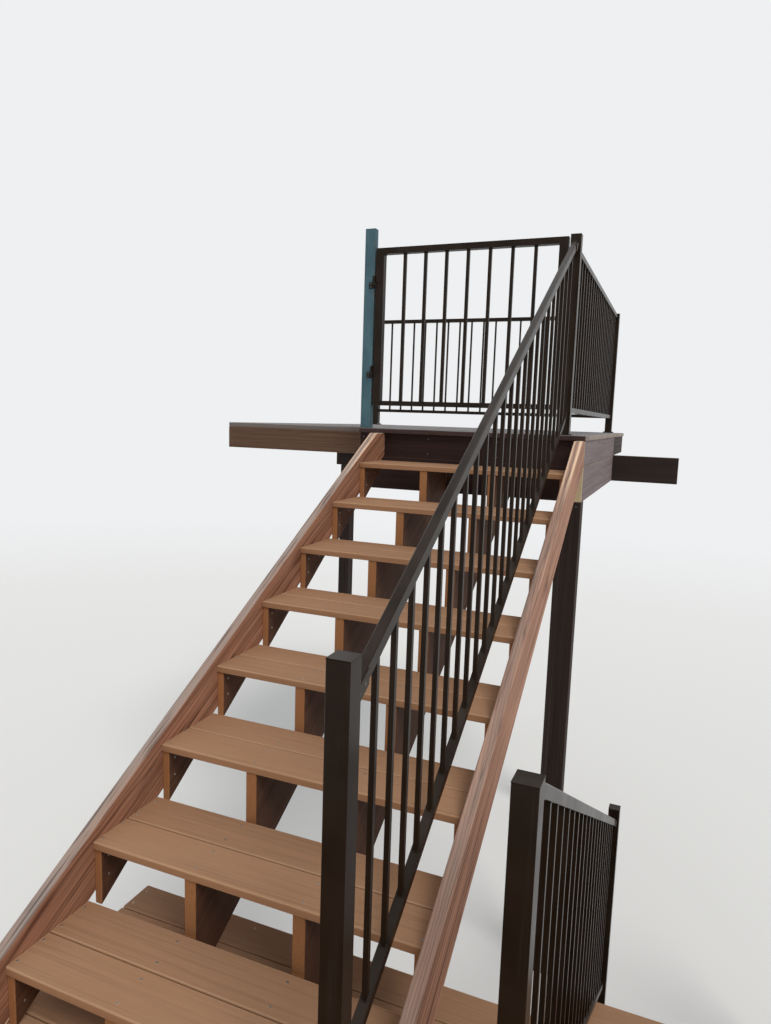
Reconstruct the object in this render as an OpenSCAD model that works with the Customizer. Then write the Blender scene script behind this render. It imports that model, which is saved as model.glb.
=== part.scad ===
// Outdoor timber stairs in two flights with a landing, an upper deck,
// steel railings and a swinging gate at the head of the upper flight.
//
// X runs across the flights, Y runs up the upper flight, Z is up and 0 on the ground.
// The origin is on the ground, straight below the left end of the upper flight's first nosing,
// in the foot of the landing post that stands there.

/* [Steps] */
// Height of one step
riser_h = 172.4; // [165:0.1:180]
// Depth of one step, nosing to nosing
going = 304.8; // [298:0.1:320]
// Steps up from the landing to the deck
upper_risers = 9; // [7:1:11]
// Steps up from the ground to the landing
lower_risers = 8; // [6:1:10]
// Clear width of a flight between its outer stringers
flight_w = 1029; // [950:1:1150]
// How far a tread stands out over the cut of an inner stringer
tread_overhang = 5; // [2:1:15]

/* [Boards] */
// Width of one deck board or tread board
board_w = 139.7; // [135:0.1:143]
// Thickness of deck boards and tread boards
board_t = 25.4; // [20:0.1:32]
// Gap between neighbouring boards
board_gap = 4.6; // [3:0.1:8]
// How far the front edge boards stand out over the frame below
edge_overhang = 25; // [15:1:35]

/* [Stringers] */
// Thickness of every sawn plank in the frame
plank_t = 38; // [32:1:44]
// Depth of an outer stringer, square to its slope
outer_depth = 172; // [160:1:200]
// Height of an outer stringer's top edge over the nosings
outer_rise = 32; // [20:1:45]
// Timber left below the cuts of an inner stringer, square to its slope
throat = 130; // [110:1:150]
// Height of the plumb cut at the toe of an outer stringer
toe_h = 142; // [110:1:160]
// Thickness of the three-cornered block under each end of a tread
block_t = 25.4; // [19:0.1:38]
// Length of a block's level top edge
block_len = 250; // [200:1:260]
// Height of a block's upright front edge
block_h = 172; // [120:1:180]
// Distance from a tread's nosing back to the fronts of its blocks
block_in = 6; // [2:1:20]

/* [Landing] */
// Boards from the head of the lower flight back to the landing's near edge
landing_rows = 11; // [8:1:14]
// How far the landing carries on under the foot of the upper flight
landing_under = 557; // [500:1:700]
// Gap in plan between the two flights' neighbouring outer stringers
flight_gap = 171; // [120:1:220]
// Where the head of the lower flight lies past the first nosing of the upper flight
lower_head_y = 50; // [35:1:70]
// How far the landing reaches left of the upper flight's clear width
landing_left = 60; // [50:1:100]
// Depth of the landing's joists and rims
landing_joist_h = 184; // [160:1:235]
// Depth of the beams under the landing
landing_beam_h = 184; // [140:1:235]

/* [Deck] */
// Rows of boards from the head of the stairs to the back of the deck
deck_rows = 17; // [15:1:20]
// How far the deck carries on to the left, round the corner behind the gate
deck_left = 1100; // [900:1:1300]
// How far the deck boards stand out over the right side of the frame
side_overhang = 6; // [2:1:20]
// Depth of the deck's joists and rims, and height of the upper trim board
deck_joist_h = 127; // [120:1:140]
// Height of the lower trim board, and depth of the deck's beams
deck_beam_h = 178; // [150:1:200]
// Open joint between the two trim boards
trim_gap = 2; // [1:0.5:4]
// How far the back beam stands out past the deck's right side
back_beam_out = 433; // [300:1:500]
// Distance from the head of the stairs to the back beam's front face
back_beam_y = 1669; // [1550:1:1750]
// Distance from the deck's right side to the middle of the post under the back beam
back_post_in = 317; // [250:1:400]
// Width of a square timber post
post_w = 89; // [80:1:95]

/* [Railings] */
// Width of a square steel post
steel_post_w = 50.8; // [45:0.1:54]
// Width of a top rail
rail_w = 25.4; // [22:0.1:30]
// Height of a top rail
rail_h = 30; // [26:1:34]
// Rounding of the top rail's edges
rail_round = 4; // [2:0.5:6]
// Length of the socket that holds each end of a sloping top rail
socket_len = 60; // [40:1:70]
// Wall of that socket beside and under the rail
socket_t = 3; // [2:0.5:4]
// Width and height of a bottom rail
low_rail_w = 25.4; // [22:0.1:28]
// Width of a square picket
picket_w = 12.7; // [11:0.1:15]
// Largest distance between picket centres on the flights
slope_pitch = 105; // [98:1:110]
// Largest distance between picket centres on the level
level_pitch = 105; // [98:1:110]
// How much wider the first gap of the upper railing is than the others
upper_lead = 27; // [0:1:40]
// Height of the upper flight's top rail over its nosings
upper_rail = 925; // [900:1:940]
// Height of the lower flight's top rail over its nosings
lower_rail = 965; // [900:1:970]
// Height of the sloping bottom rails' tops over the nosings
slope_low_rail = 105; // [85:1:120]
// Height of the level top rails over the boards
level_rail = 912; // [890:1:930]
// Height of the level bottom rails' tops over the boards
level_low_rail = 138; // [100:1:150]
// Height of the posts of the level railings
level_post_h = 918; // [900:1:960]
// Height of the post at the head of the upper flight
upper_head_post_h = 963; // [950:1:1000]
// Height of the post at the foot of the upper flight
upper_foot_post_h = 1164; // [1150:1:1200]
// Height of the posts at the head of the lower flight
lower_head_post_h = 979; // [960:1:1010]
// Height of the posts at the foot of the lower flight
lower_foot_post_h = 1164; // [1150:1:1200]
// Distance from the upper flight's clear width edge in to the middle of its railing
upper_rail_in = 69; // [60:1:80]
// Distance from the lower flight's left edge to its left railing's middle at the head
lower_head_in = 26; // [24:1:60]
// Distance from the lower flight's edges to its railings' middles at the foot
lower_foot_in = 71; // [60:1:80]
// Distance from the deck's nosing in to the middle of the post there
deck_post_in = 50; // [45:1:60]
// Distance from the deck's back edge in to the middle of the back railing
back_rail_in = 94; // [80:1:110]
// Distance from the landing's nosing in to the middle of the posts there
landing_post_in = 40; // [38:1:50]
// Distance from the first upper nosing out to the middle of the foot post
upper_foot_out = 40; // [35:1:50]
// Distance from the last lower nosing out to the middle of the foot posts
lower_foot_out = 56; // [45:1:80]
// Width of a post's square base plate
base_w = 76; // [60:1:76]
// Thickness of a post's base plate
base_t = 6; // [4:1:10]

/* [Gate] */
// Width of a gate stile
stile_w = 44; // [36:1:46]
// Thickness of the gate's frame
gate_t = 38; // [30:1:38]
// Height of the gate's top rail
gate_rail_h = 32; // [26:1:36]
// Height of the gate leaf
gate_h = 832; // [780:1:860]
// Gap between the deck and the underside of the gate
gate_lift = 124; // [90:1:130]
// Number of upright bars between the stiles
gate_bars = 7; // [6:1:9]
// Width of an upright bar of the gate
gate_bar_w = 16; // [12:0.5:18]
// Gap between the gate leaf and the posts beside it
gate_gap = 8; // [7:0.5:9]
// Gap in plan between the gate's hinge post and the left stringer
hinge_post_in = 54; // [50:1:80]
// Height of the gate's hinge post over the deck
hinge_post_h = 1060; // [1000:1:1150]
// Width of the hinge post beside the gate
hinge_post_w = 60; // [50:1:70]
// Height of the lower hinge's foot over the deck
hinge_low = 272; // [220:1:320]
// Height of the upper hinge's foot over the deck
hinge_high = 747; // [650:1:780]
// Outer radius of a hinge knuckle
knuckle_r = 7.5; // [6:0.5:8]
// Radius of a hinge pin
pin_r = 4; // [3:0.1:4.5]
// How far the middle of a hinge pin lies right of the hinge post's edge
pin_out = 0.6; // [0.3:0.1:1]
// Length of each hinge knuckle
knuckle_len = 32; // [26:1:36]
// Running gap round a hinge pin and between two knuckles
pin_gap = 0.1; // [0.05:0.05:0.1]
// Width of the hinge leaves on the posts and the gate
leaf_w = 30; // [24:1:32]
// Thickness of a hinge leaf
leaf_t = 3; // [2:0.5:4]

/* [Hidden] */

slope = riser_h / going;
slope_a = atan(slope);
board_pitch = board_w + board_gap;
tread_d = board_pitch + board_w;
landing_z = lower_risers * riser_h;
first_z = landing_z + riser_h;
deck_z = (lower_risers + upper_risers) * riser_h;
outer_drop = outer_depth / cos(slope_a) - outer_rise;
inner_drop = riser_h + board_t + throat / cos(slope_a);
upper_n = upper_risers - 1;
lower_n = lower_risers - 1;

flight_right = flight_w + plank_t;
side_x = flight_right + flight_gap;
lower_x = side_x + plank_t;
lower_right = lower_x + flight_w + plank_t;
landing_face_y = lower_head_y - edge_overhang;
near_y = lower_head_y - landing_rows * board_pitch + board_gap;
far_y = lower_head_y + landing_under;
near_post_y = near_y + post_w;
mid_post_y = landing_face_y - plank_t;
far_post_y = far_y - post_w;
landing_frame_z = landing_z - board_t;
joist_z = landing_frame_z - landing_joist_h;
beam_z = joist_z - landing_beam_h;

deck_y = upper_n * going;
trim_y = deck_y + edge_overhang;
frame_y = trim_y + plank_t;
ledger_y = deck_y + board_pitch;
back_y = deck_y + deck_rows * board_pitch - board_gap;
back_frame_y = back_y - edge_overhang;
beam_y = deck_y + back_beam_y;
deck_frame_z = deck_z - board_t;
trim_mid_z = deck_frame_z - deck_joist_h;
trim_low_z = trim_mid_z - deck_beam_h;

steel_half = steel_post_w / 2;
rail_x = flight_w - upper_rail_in;
head_post_y = deck_y + deck_post_in;
back_rail_y = back_y - back_rail_in;
left_post_x = -deck_left + deck_post_in;
lower_head_post_y = lower_head_y - landing_post_in;
lower_foot_post_y = lower_head_y + lower_n * going + lower_foot_out;
straight_run = lower_foot_post_y - lower_head_post_y;
rail_skew = atan((lower_foot_in - lower_head_in) / straight_run);
skew_run = straight_run / cos(rail_skew);
lower_left_x = lower_x + lower_head_in;
near_rail_y = near_y + deck_post_in;
landing_left_x = -landing_left + deck_post_in;
landing_right_x = lower_x + flight_w - lower_foot_in;

hinge_post_y = trim_y;
gate_right = rail_x - steel_half - gate_gap;
hinge_post_x = -plank_t - hinge_post_in;
corner_x = hinge_post_x - hinge_post_w;
gate_left = hinge_post_x + gate_gap;
pivot_x = hinge_post_x + pin_out;
pivot_y = hinge_post_y - knuckle_r;

function upper_nose(y) = first_z + slope * y;
function lower_nose(y) = landing_z - slope * (y - lower_head_y);

// A flat profile drawn in Y and Z, with its thickness along X
module side_profile(x, thick, points) {
    translate([x, 0, 0])
        rotate([90, 0, 90])
            linear_extrude(thick) polygon(points);
}

module plank(x0, x1, y0, y1, z0, z1) {
    translate([x0, y0, z0]) cube([x1 - x0, y1 - y0, z1 - z0]);
}

// Closed outer stringer of the upper flight, from the landing to the deck's trim
module upper_outer(x) {
    toe_y = (toe_h - riser_h - outer_rise) / slope;
    heel_y = (outer_drop - riser_h) / slope;
    level_y = (deck_frame_z - outer_rise - first_z) / slope;
    side_profile(x, plank_t, [
        [toe_y, landing_z],
        [heel_y, landing_z],
        [trim_y, upper_nose(trim_y) - outer_drop],
        [trim_y, deck_frame_z],
        [level_y, deck_frame_z],
        [toe_y, landing_z + toe_h]
    ]);
}

// Cut inner stringer of the upper flight
module upper_inner(x) {
    heel_y = (inner_drop - riser_h) / slope;
    steps = [for (k = [0 : upper_n - 1], side = [0, 1])
        [(k + side) * going + tread_overhang, first_z + k * riser_h - board_t]];
    side_profile(x, plank_t, concat(
        [[heel_y, landing_z], [tread_overhang, landing_z]],
        steps,
        [[trim_y, deck_frame_z - riser_h], [trim_y, upper_nose(trim_y) - inner_drop]]));
}

// Closed outer stringer of the lower flight, from the landing's rim to the ground
module lower_outer(x) {
    toe_y = lower_head_y + (landing_z + outer_rise - toe_h) / slope;
    heel_y = lower_head_y + (landing_z - outer_drop) / slope;
    level_y = lower_head_y + (outer_rise + board_t) / slope;
    side_profile(x, plank_t, [
        [toe_y, 0],
        [toe_y, toe_h],
        [level_y, landing_frame_z],
        [landing_face_y, landing_frame_z],
        [landing_face_y, lower_nose(landing_face_y) - outer_drop],
        [heel_y, 0]
    ]);
}

// Cut inner stringer of the lower flight
module lower_inner(x) {
    heel_y = lower_head_y + (landing_z - inner_drop) / slope;
    steps = [for (k = [1 : lower_n], side = [-1, 0])
        [lower_head_y + (k + side) * going - tread_overhang, landing_z - k * riser_h - board_t]];
    side_profile(x, plank_t, concat(
        [[landing_face_y, landing_frame_z - riser_h]],
        steps,
        [[lower_head_y + lower_n * going - tread_overhang, 0], [heel_y, 0],
            [landing_face_y, lower_nose(landing_face_y) - inner_drop]]));
}

// Two boards that make one tread
module tread(x, y, top_z) {
    for (i = [0, 1])
        translate([x, y + i * board_pitch, top_z - board_t])
            cube([flight_w, board_w, board_t]);
}

// Three-cornered blocks against both outer stringers, under the ends of one tread.
// back is 1 where the tread's nosing faces -Y, and -1 where it faces +Y.
module tread_block_pair(x, nosing_y, top_z, floor_z, back) {
    front_y = nosing_y + back * block_in;
    under_z = top_z - board_t;
    low_z = max(floor_z, under_z - block_h);
    for (left = [x, x + flight_w - block_t])
        side_profile(left, block_t, [
            [front_y, under_z], [front_y, low_z], [front_y + back * block_len, under_z]]);
}

module timber_post(x, y, top_z) {
    translate([x - post_w / 2, y - post_w / 2, 0]) cube([post_w, post_w, top_z]);
}

// Square steel post welded to its base plate
module steel_post(x, y, foot_z, height) {
    translate([x - base_w / 2, y - base_w / 2, foot_z]) cube([base_w, base_w, base_t]);
    translate([x - steel_half, y - steel_half, foot_z])
        cube([steel_post_w, steel_post_w, height]);
}

// Section of a top rail, its crown at zero
module rail_outline() {
    inner_w = rail_w / 2 - rail_round;
    translate([-rail_w / 2, -rail_h]) square([rail_w, rail_h - rail_round]);
    translate([-inner_w, -rail_round]) square([2 * inner_w, rail_round]);
    for (x = [-inner_w, inner_w])
        translate([x, -rail_round]) circle(r = rail_round, $fn = 24);
}

// One welded railing panel along Y, between plumb ends at y0 and y1.
// top and low are the rails' top edges at y0, and fall is how far both drop from y0 to y1.
// The first gap is wider than the others by lead.
module railing(y0, y1, top, low, fall, pitch, lead = 0) {
    span = y1 - y0;
    tilt = atan(-fall / span);
    bays = ceil(span / pitch);
    bay = (span - lead) / bays;
    spare = 2 * rail_h;
    intersection() {
        translate([0, y0, top])
            rotate([90 + tilt, 0, 0])
                translate([0, 0, -span / cos(tilt) - spare])
                    linear_extrude(span / cos(tilt) + 2 * spare) rail_outline();
        translate([-spare, y0, min(top, top - fall) - spare])
            cube([2 * spare, span, abs(fall) + 2 * spare]);
    }
    side_profile(-low_rail_w / 2, low_rail_w, [
        [y0, low], [y1, low - fall], [y1, low - fall - low_rail_w], [y0, low - low_rail_w]]);
    for (k = [1 : bays - 1])
        let (run = lead + k * bay)
        translate([-picket_w / 2, y0 + run - picket_w / 2,
            low - fall * run / span - low_rail_w / 2])
            cube([picket_w, picket_w, top - low - rail_h / 2 + low_rail_w / 2]);
}

// A sloping railing panel, its top rail held at both ends by sockets open at the top
module sloping_railing(y0, y1, top, low, fall, lead = 0) {
    railing(y0, y1, top, low, fall, slope_pitch, lead);
    drop = fall / (y1 - y0);
    for (y = [y0, y1 - socket_len])
        let (high = top - drop * (y - y0) - rail_round,
            deep = rail_h / cos(slope_a) + socket_t - rail_round)
        side_profile(-rail_w / 2 - socket_t, rail_w + 2 * socket_t, [
            [y, high], [y, high - deep],
            [y + socket_len, high - deep - drop * socket_len],
            [y + socket_len, high - drop * socket_len]]);
}

// A level railing panel between the posts at y0 and y1
module level_railing(y0, y1, floor_z) {
    railing(y0 + steel_half, y1 - steel_half, floor_z + level_rail, floor_z + level_low_rail,
        0, level_pitch);
}

module upper_left_stringer() {
    color("sienna") upper_outer(-plank_t);
}

module upper_right_stringer() {
    color("sienna") upper_outer(flight_w);
}

module upper_inner_stringers() {
    color("peru")
        for (i = [1, 2])
            upper_inner(i * flight_w / 3 - plank_t / 2);
}

module upper_treads() {
    color("saddlebrown")
        for (k = [0 : upper_n - 1])
            tread(0, k * going, first_z + k * riser_h);
}

module upper_tread_blocks() {
    color("peru")
        for (k = [0 : upper_n - 1])
            tread_block_pair(0, k * going, first_z + k * riser_h, landing_z, 1);
}

module landing_boards() {
    color("saddlebrown")
        for (k = [1 : landing_rows])
            plank(-landing_left, lower_right + edge_overhang,
                lower_head_y - k * board_pitch + board_gap,
                lower_head_y - (k - 1) * board_pitch, landing_frame_z, landing_z);
}

module landing_boards_under_flight() {
    rows = ceil(landing_under / board_pitch);
    color("saddlebrown")
        for (k = [0 : rows - 1])
            plank(-landing_left, side_x + edge_overhang - board_gap,
                lower_head_y + k * board_pitch + board_gap,
                min(far_y, lower_head_y + (k + 1) * board_pitch), landing_frame_z, landing_z);
}

// Rims of the landing that run along Y
module landing_side_rims() {
    left = -landing_left;
    near = near_y + edge_overhang;
    far = far_y - edge_overhang;
    color("sienna") {
        plank(left, left + plank_t, near, far, joist_z, landing_frame_z);
        plank(side_x - plank_t, side_x, near + plank_t, far, joist_z, landing_frame_z);
        plank(lower_right - plank_t, lower_right, near, landing_face_y,
            joist_z, landing_frame_z);
    }
}

// Rims of the landing that run along X
module landing_end_rims() {
    left = -landing_left + plank_t;
    right = lower_right - plank_t;
    near = near_y + edge_overhang;
    far = far_y - edge_overhang;
    color("sienna") {
        plank(left, right, near, near + plank_t, joist_z, landing_frame_z);
        plank(side_x, right, landing_face_y - plank_t, landing_face_y,
            joist_z, landing_frame_z);
        plank(left, side_x - plank_t, far - plank_t, far, joist_z, landing_frame_z);
    }
}

module landing_joists() {
    near = near_y + edge_overhang + plank_t;
    far = far_y - edge_overhang - plank_t;
    left = -landing_left + plank_t;
    main_bay = (side_x - plank_t - left) / 3;
    wing_bay = (lower_right - plank_t - side_x) / 3;
    color("peru")
        for (i = [1, 2]) {
            plank(left + i * main_bay - plank_t / 2, left + i * main_bay + plank_t / 2,
                near, far, joist_z, landing_frame_z);
            plank(side_x + i * wing_bay - plank_t / 2, side_x + i * wing_bay + plank_t / 2,
                near, landing_face_y - plank_t, joist_z, landing_frame_z);
        }
}

module landing_beams() {
    color("sienna") {
        for (y = [near_post_y, mid_post_y])
            plank(-post_w / 2, lower_right, y - plank_t, y + plank_t, beam_z, joist_z);
        plank(-post_w / 2, side_x, far_post_y - plank_t, far_post_y + plank_t,
            beam_z, joist_z);
    }
}

module landing_posts() {
    left_x = 0;
    middle_x = side_x - post_w / 2;
    right_x = lower_right - post_w / 2;
    color("sienna") {
        for (y = [near_post_y, mid_post_y], x = [left_x, middle_x, right_x])
            timber_post(x, y, beam_z);
        for (x = [left_x, middle_x])
            timber_post(x, far_post_y, beam_z);
    }
}

module lower_left_stringer() {
    color("sienna") lower_outer(lower_x - plank_t);
}

module lower_right_stringer() {
    color("sienna") lower_outer(lower_x + flight_w);
}

module lower_inner_stringers() {
    color("peru")
        for (i = [1, 2])
            lower_inner(lower_x + i * flight_w / 3 - plank_t / 2);
}

module lower_treads() {
    color("saddlebrown")
        for (k = [1 : lower_n])
            tread(lower_x, lower_head_y + k * going - tread_d, landing_z - k * riser_h);
}

module lower_tread_blocks() {
    color("peru")
        for (k = [1 : lower_n])
            tread_block_pair(lower_x, lower_head_y + k * going, landing_z - k * riser_h, 0, -1);
}

module deck_boards() {
    color("saddlebrown")
        for (k = [1 : deck_rows - 1])
            plank(-deck_left, flight_right + side_overhang, deck_y + k * board_pitch,
                deck_y + k * board_pitch + board_w, deck_frame_z, deck_z);
}

module deck_nosing_board() {
    color("saddlebrown")
        plank(corner_x, flight_right + side_overhang,
            deck_y, deck_y + board_w, deck_frame_z, deck_z);
}

// Rims of the deck that run along Y
module deck_side_rims() {
    color("sienna") {
        plank(flight_right - plank_t, flight_right, beam_y, back_frame_y,
            trim_mid_z, deck_frame_z);
        plank(-deck_left, -deck_left + plank_t, ledger_y + plank_t, back_frame_y - plank_t,
            trim_mid_z, deck_frame_z);
    }
}

// Rims of the deck that run along X
module deck_end_rims() {
    color("sienna") {
        plank(corner_x, flight_right - plank_t, frame_y, frame_y + plank_t,
            trim_mid_z, deck_frame_z);
        plank(-deck_left, flight_right - plank_t, back_frame_y - plank_t, back_frame_y,
            trim_mid_z, deck_frame_z);
    }
}

module deck_ledger() {
    color("sienna")
        plank(-deck_left, corner_x, ledger_y, ledger_y + plank_t,
            trim_mid_z, deck_frame_z);
}

module deck_joists() {
    right_bay = (flight_right - plank_t - corner_x) / 3;
    left_bay = (deck_left + corner_x) / 3;
    back = back_frame_y - plank_t;
    color("peru") {
        for (i = [0 : 2])
            plank(corner_x + i * right_bay, corner_x + i * right_bay + plank_t,
                frame_y + plank_t, back, trim_mid_z, deck_frame_z);
        for (i = [1, 2])
            plank(i * left_bay - deck_left, i * left_bay - deck_left + plank_t,
                ledger_y + plank_t, back, trim_mid_z, deck_frame_z);
    }
}

// Two trim boards, one over the other, across the front of the deck
module deck_front_trim() {
    right = flight_right - plank_t;
    color("sienna") {
        plank(corner_x, right, trim_y, frame_y, trim_mid_z, deck_frame_z);
        plank(corner_x, right, trim_y, frame_y, trim_low_z, trim_mid_z - trim_gap);
    }
}

// Two trim boards, one over the other, along the right side of the deck
module deck_side_trim() {
    left = flight_right - plank_t;
    color("rosybrown") {
        plank(left, flight_right, trim_y, beam_y, trim_mid_z, deck_frame_z);
        plank(left, flight_right, trim_y, beam_y, trim_low_z, trim_mid_z - trim_gap);
    }
}

module deck_front_beam() {
    color("sienna")
        plank(corner_x, flight_right - plank_t,
            frame_y, frame_y + 2 * plank_t, trim_low_z, trim_mid_z);
}

module deck_back_beam() {
    color("sienna")
        plank(-deck_left, flight_right + back_beam_out, beam_y, beam_y + 2 * plank_t,
            trim_low_z, trim_mid_z);
}

module deck_posts() {
    color("sienna") {
        timber_post(flight_right - post_w / 2, trim_y + post_w / 2, trim_low_z);
        for (x = [-deck_left + post_w, flight_right - back_post_in])
            timber_post(x, beam_y + plank_t, trim_low_z);
    }
}

module upper_foot_post() {
    color("darkslategray") steel_post(rail_x, -upper_foot_out, landing_z, upper_foot_post_h);
}

module upper_head_post() {
    color("darkslategray") steel_post(rail_x, head_post_y, deck_z, upper_head_post_h);
}

module upper_railing() {
    y0 = steel_half - upper_foot_out;
    y1 = head_post_y - steel_half;
    color("darkslategray")
        translate([rail_x, 0, 0])
            sloping_railing(y0, y1, upper_nose(y0) + upper_rail,
                upper_nose(y0) + slope_low_rail, -slope * (y1 - y0), upper_lead);
}

module deck_side_railing() {
    color("darkslategray")
        translate([rail_x, 0, 0])
            level_railing(head_post_y, back_rail_y, deck_z);
}

module deck_back_railing() {
    color("darkslategray")
        translate([0, back_rail_y, 0])
            rotate([0, 0, -90])
                level_railing(left_post_x, rail_x, deck_z);
}

module deck_railing_posts() {
    color("darkslategray")
        for (x = [left_post_x, rail_x])
            steel_post(x, back_rail_y, deck_z, level_post_h);
}

// Pieces placed on the line of a lower railing have their Y along it, from the head post's middle
module on_lower_rail(x, skew) {
    translate([x, lower_head_post_y, 0]) rotate([0, 0, -skew]) children();
}

module lower_railing(run) {
    top = lower_nose(lower_head_post_y + steel_half);
    sloping_railing(steel_half, run - steel_half, top + lower_rail, top + slope_low_rail,
        slope * (run - steel_post_w));
}

module lower_head_posts() {
    color("darkslategray") {
        on_lower_rail(lower_left_x, rail_skew) steel_post(0, 0, landing_z, lower_head_post_h);
        on_lower_rail(landing_right_x, 0) steel_post(0, 0, landing_z, lower_head_post_h);
    }
}

module lower_foot_posts() {
    color("darkslategray") {
        on_lower_rail(lower_left_x, rail_skew) steel_post(0, skew_run, 0, lower_foot_post_h);
        on_lower_rail(landing_right_x, 0) steel_post(0, straight_run, 0, lower_foot_post_h);
    }
}

// This railing runs slightly out of line with its stringer
module lower_left_railing() {
    color("darkslategray") on_lower_rail(lower_left_x, rail_skew) lower_railing(skew_run);
}

module lower_right_railing() {
    color("darkslategray") on_lower_rail(landing_right_x, 0) lower_railing(straight_run);
}

module landing_side_railing() {
    color("darkslategray")
        translate([landing_right_x, 0, 0])
            level_railing(near_rail_y, lower_head_post_y, landing_z);
}

module landing_near_railing() {
    color("darkslategray")
        translate([0, near_rail_y, 0])
            rotate([0, 0, -90])
                level_railing(landing_left_x, landing_right_x, landing_z);
}

module landing_railing_posts() {
    color("darkslategray")
        for (x = [landing_left_x, landing_right_x])
            steel_post(x, near_rail_y, landing_z, level_post_h);
}

module gate_hinge_post() {
    color("cadetblue")
        plank(corner_x, hinge_post_x, hinge_post_y, hinge_post_y + plank_t,
            deck_z, deck_z + hinge_post_h);
}

// Lower half of a hinge: its leaf lies on the hinge post, and its pin stands up
module fixed_hinge_half(z) {
    translate([hinge_post_x - leaf_w, hinge_post_y - leaf_t, z])
        cube([leaf_w, leaf_t, knuckle_len]);
    translate([pivot_x, pivot_y, z]) cylinder(r = knuckle_r, h = knuckle_len, $fn = 48);
    translate([pivot_x, pivot_y, z]) cylinder(r = pin_r, h = 2 * knuckle_len, $fn = 48);
}

// Upper half of a hinge: its leaf is welded to the gate's stile
module gate_hinge_half(z) {
    difference() {
        union() {
            translate([pivot_x, pivot_y, z]) cylinder(r = knuckle_r, h = knuckle_len, $fn = 48);
            translate([pivot_x, hinge_post_y - leaf_t, z])
                cube([gate_left - pivot_x + leaf_w, leaf_t, knuckle_len]);
        }
        translate([pivot_x, pivot_y, z - leaf_t])
            cylinder(r = pin_r + pin_gap, h = knuckle_len + 2 * leaf_t, $fn = 48);
    }
}

module gate_hinge_halves() {
    color("dimgray")
        for (z = [hinge_low, hinge_high])
            fixed_hinge_half(deck_z + z);
}

module gate_leaf() {
    z0 = deck_z + gate_lift;
    z1 = z0 + gate_h;
    y0 = hinge_post_y;
    y1 = hinge_post_y + gate_t;
    mid_y = y0 + gate_t / 2;
    inner_w = gate_right - gate_left - 2 * stile_w;
    color("darkslategray") {
        for (x = [gate_left, gate_right - stile_w])
            plank(x, x + stile_w, y0, y1, z0, z1);
        plank(gate_left, gate_right, y0, y1, z1 - gate_rail_h, z1);
        plank(gate_left, gate_right, mid_y - low_rail_w / 2, mid_y + low_rail_w / 2,
            z0, z0 + low_rail_w);
        for (k = [1 : gate_bars])
            let (x = gate_left + stile_w + k * inner_w / (gate_bars + 1))
            plank(x - gate_bar_w / 2, x + gate_bar_w / 2,
                mid_y - gate_bar_w / 2, mid_y + gate_bar_w / 2,
                z0 + low_rail_w / 2, z1 - gate_rail_h / 2);
        for (z = [hinge_low, hinge_high])
            gate_hinge_half(deck_z + z + knuckle_len + pin_gap);
    }
}

upper_left_stringer();
upper_right_stringer();
upper_inner_stringers();
upper_treads();
upper_tread_blocks();
landing_boards();
landing_boards_under_flight();
landing_joists();
landing_side_rims();
landing_end_rims();
landing_beams();
landing_posts();
lower_left_stringer();
lower_right_stringer();
lower_inner_stringers();
lower_treads();
lower_tread_blocks();
deck_boards();
deck_nosing_board();
deck_joists();
deck_side_rims();
deck_end_rims();
deck_ledger();
deck_front_trim();
deck_side_trim();
deck_front_beam();
deck_back_beam();
deck_posts();
upper_foot_post();
upper_head_post();
upper_railing();
deck_side_railing();
deck_back_railing();
deck_railing_posts();
lower_head_posts();
lower_foot_posts();
lower_left_railing();
lower_right_railing();
landing_side_railing();
landing_near_railing();
landing_railing_posts();
gate_hinge_post();
gate_hinge_halves();
gate_leaf();
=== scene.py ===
import math
import random

import bmesh
import bpy
from mathutils import Matrix, Vector


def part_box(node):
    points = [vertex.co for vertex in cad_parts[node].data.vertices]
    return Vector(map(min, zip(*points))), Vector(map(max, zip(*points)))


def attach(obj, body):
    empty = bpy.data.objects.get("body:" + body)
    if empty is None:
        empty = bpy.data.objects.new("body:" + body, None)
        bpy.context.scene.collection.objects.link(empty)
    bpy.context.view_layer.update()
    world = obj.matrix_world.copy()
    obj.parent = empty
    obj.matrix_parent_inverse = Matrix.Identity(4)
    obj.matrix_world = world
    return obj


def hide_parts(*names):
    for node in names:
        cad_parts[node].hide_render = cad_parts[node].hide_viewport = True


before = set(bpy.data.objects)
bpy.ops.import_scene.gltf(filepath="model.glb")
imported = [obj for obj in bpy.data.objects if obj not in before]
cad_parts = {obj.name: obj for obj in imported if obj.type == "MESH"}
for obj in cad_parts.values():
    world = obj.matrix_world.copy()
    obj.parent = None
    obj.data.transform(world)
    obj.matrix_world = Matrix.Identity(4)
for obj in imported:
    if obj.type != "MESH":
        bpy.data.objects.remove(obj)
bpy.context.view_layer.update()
draw = random.Random(7)

UP = (0, 0, 1)

# How the plain solids are read: distances in metres, angles, and how square a face stands
CLOSE = 0.00005
TOUCH = 0.001
FLAT = math.radians(0.5)
SHARP = math.radians(25)
HOLLOW = -0.1
SQUARE = 0.99

# Widths of eased edges, in metres
BOARD_EASE = 0.004
PLANK_EASE = 0.0025
STRINGER_EASE = 0.0045
STEEL_EASE = 0.0012
PLATE_EASE = 0.0006

# Screws: metres, apart from the taper and the shares of a head's radius or a hinge's face
SCREW_SIDES = 12
SCREW_RADIUS = 0.0042
SCREW_HEIGHT = 0.0007
SCREW_TAPER = 0.88
RECESS_RIM = 0.45
RECESS_SLOPE = 0.06
SCREW_INSET = 0.028
BOARD_END = 0.01
BLOCK_SCREW_PLACES = ((0.03, 0.03), (0.13, 0.03), (0.03, 0.09))
SOCKET_REACH = 0.06
SOCKET_AREA = 0.0008
SOCKET_SCREW_REACH = 0.014
HINGE_SCREW_LEVELS = (0.25, 0.75)
HINGE_SCREW_SIDE = 0.42

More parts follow.
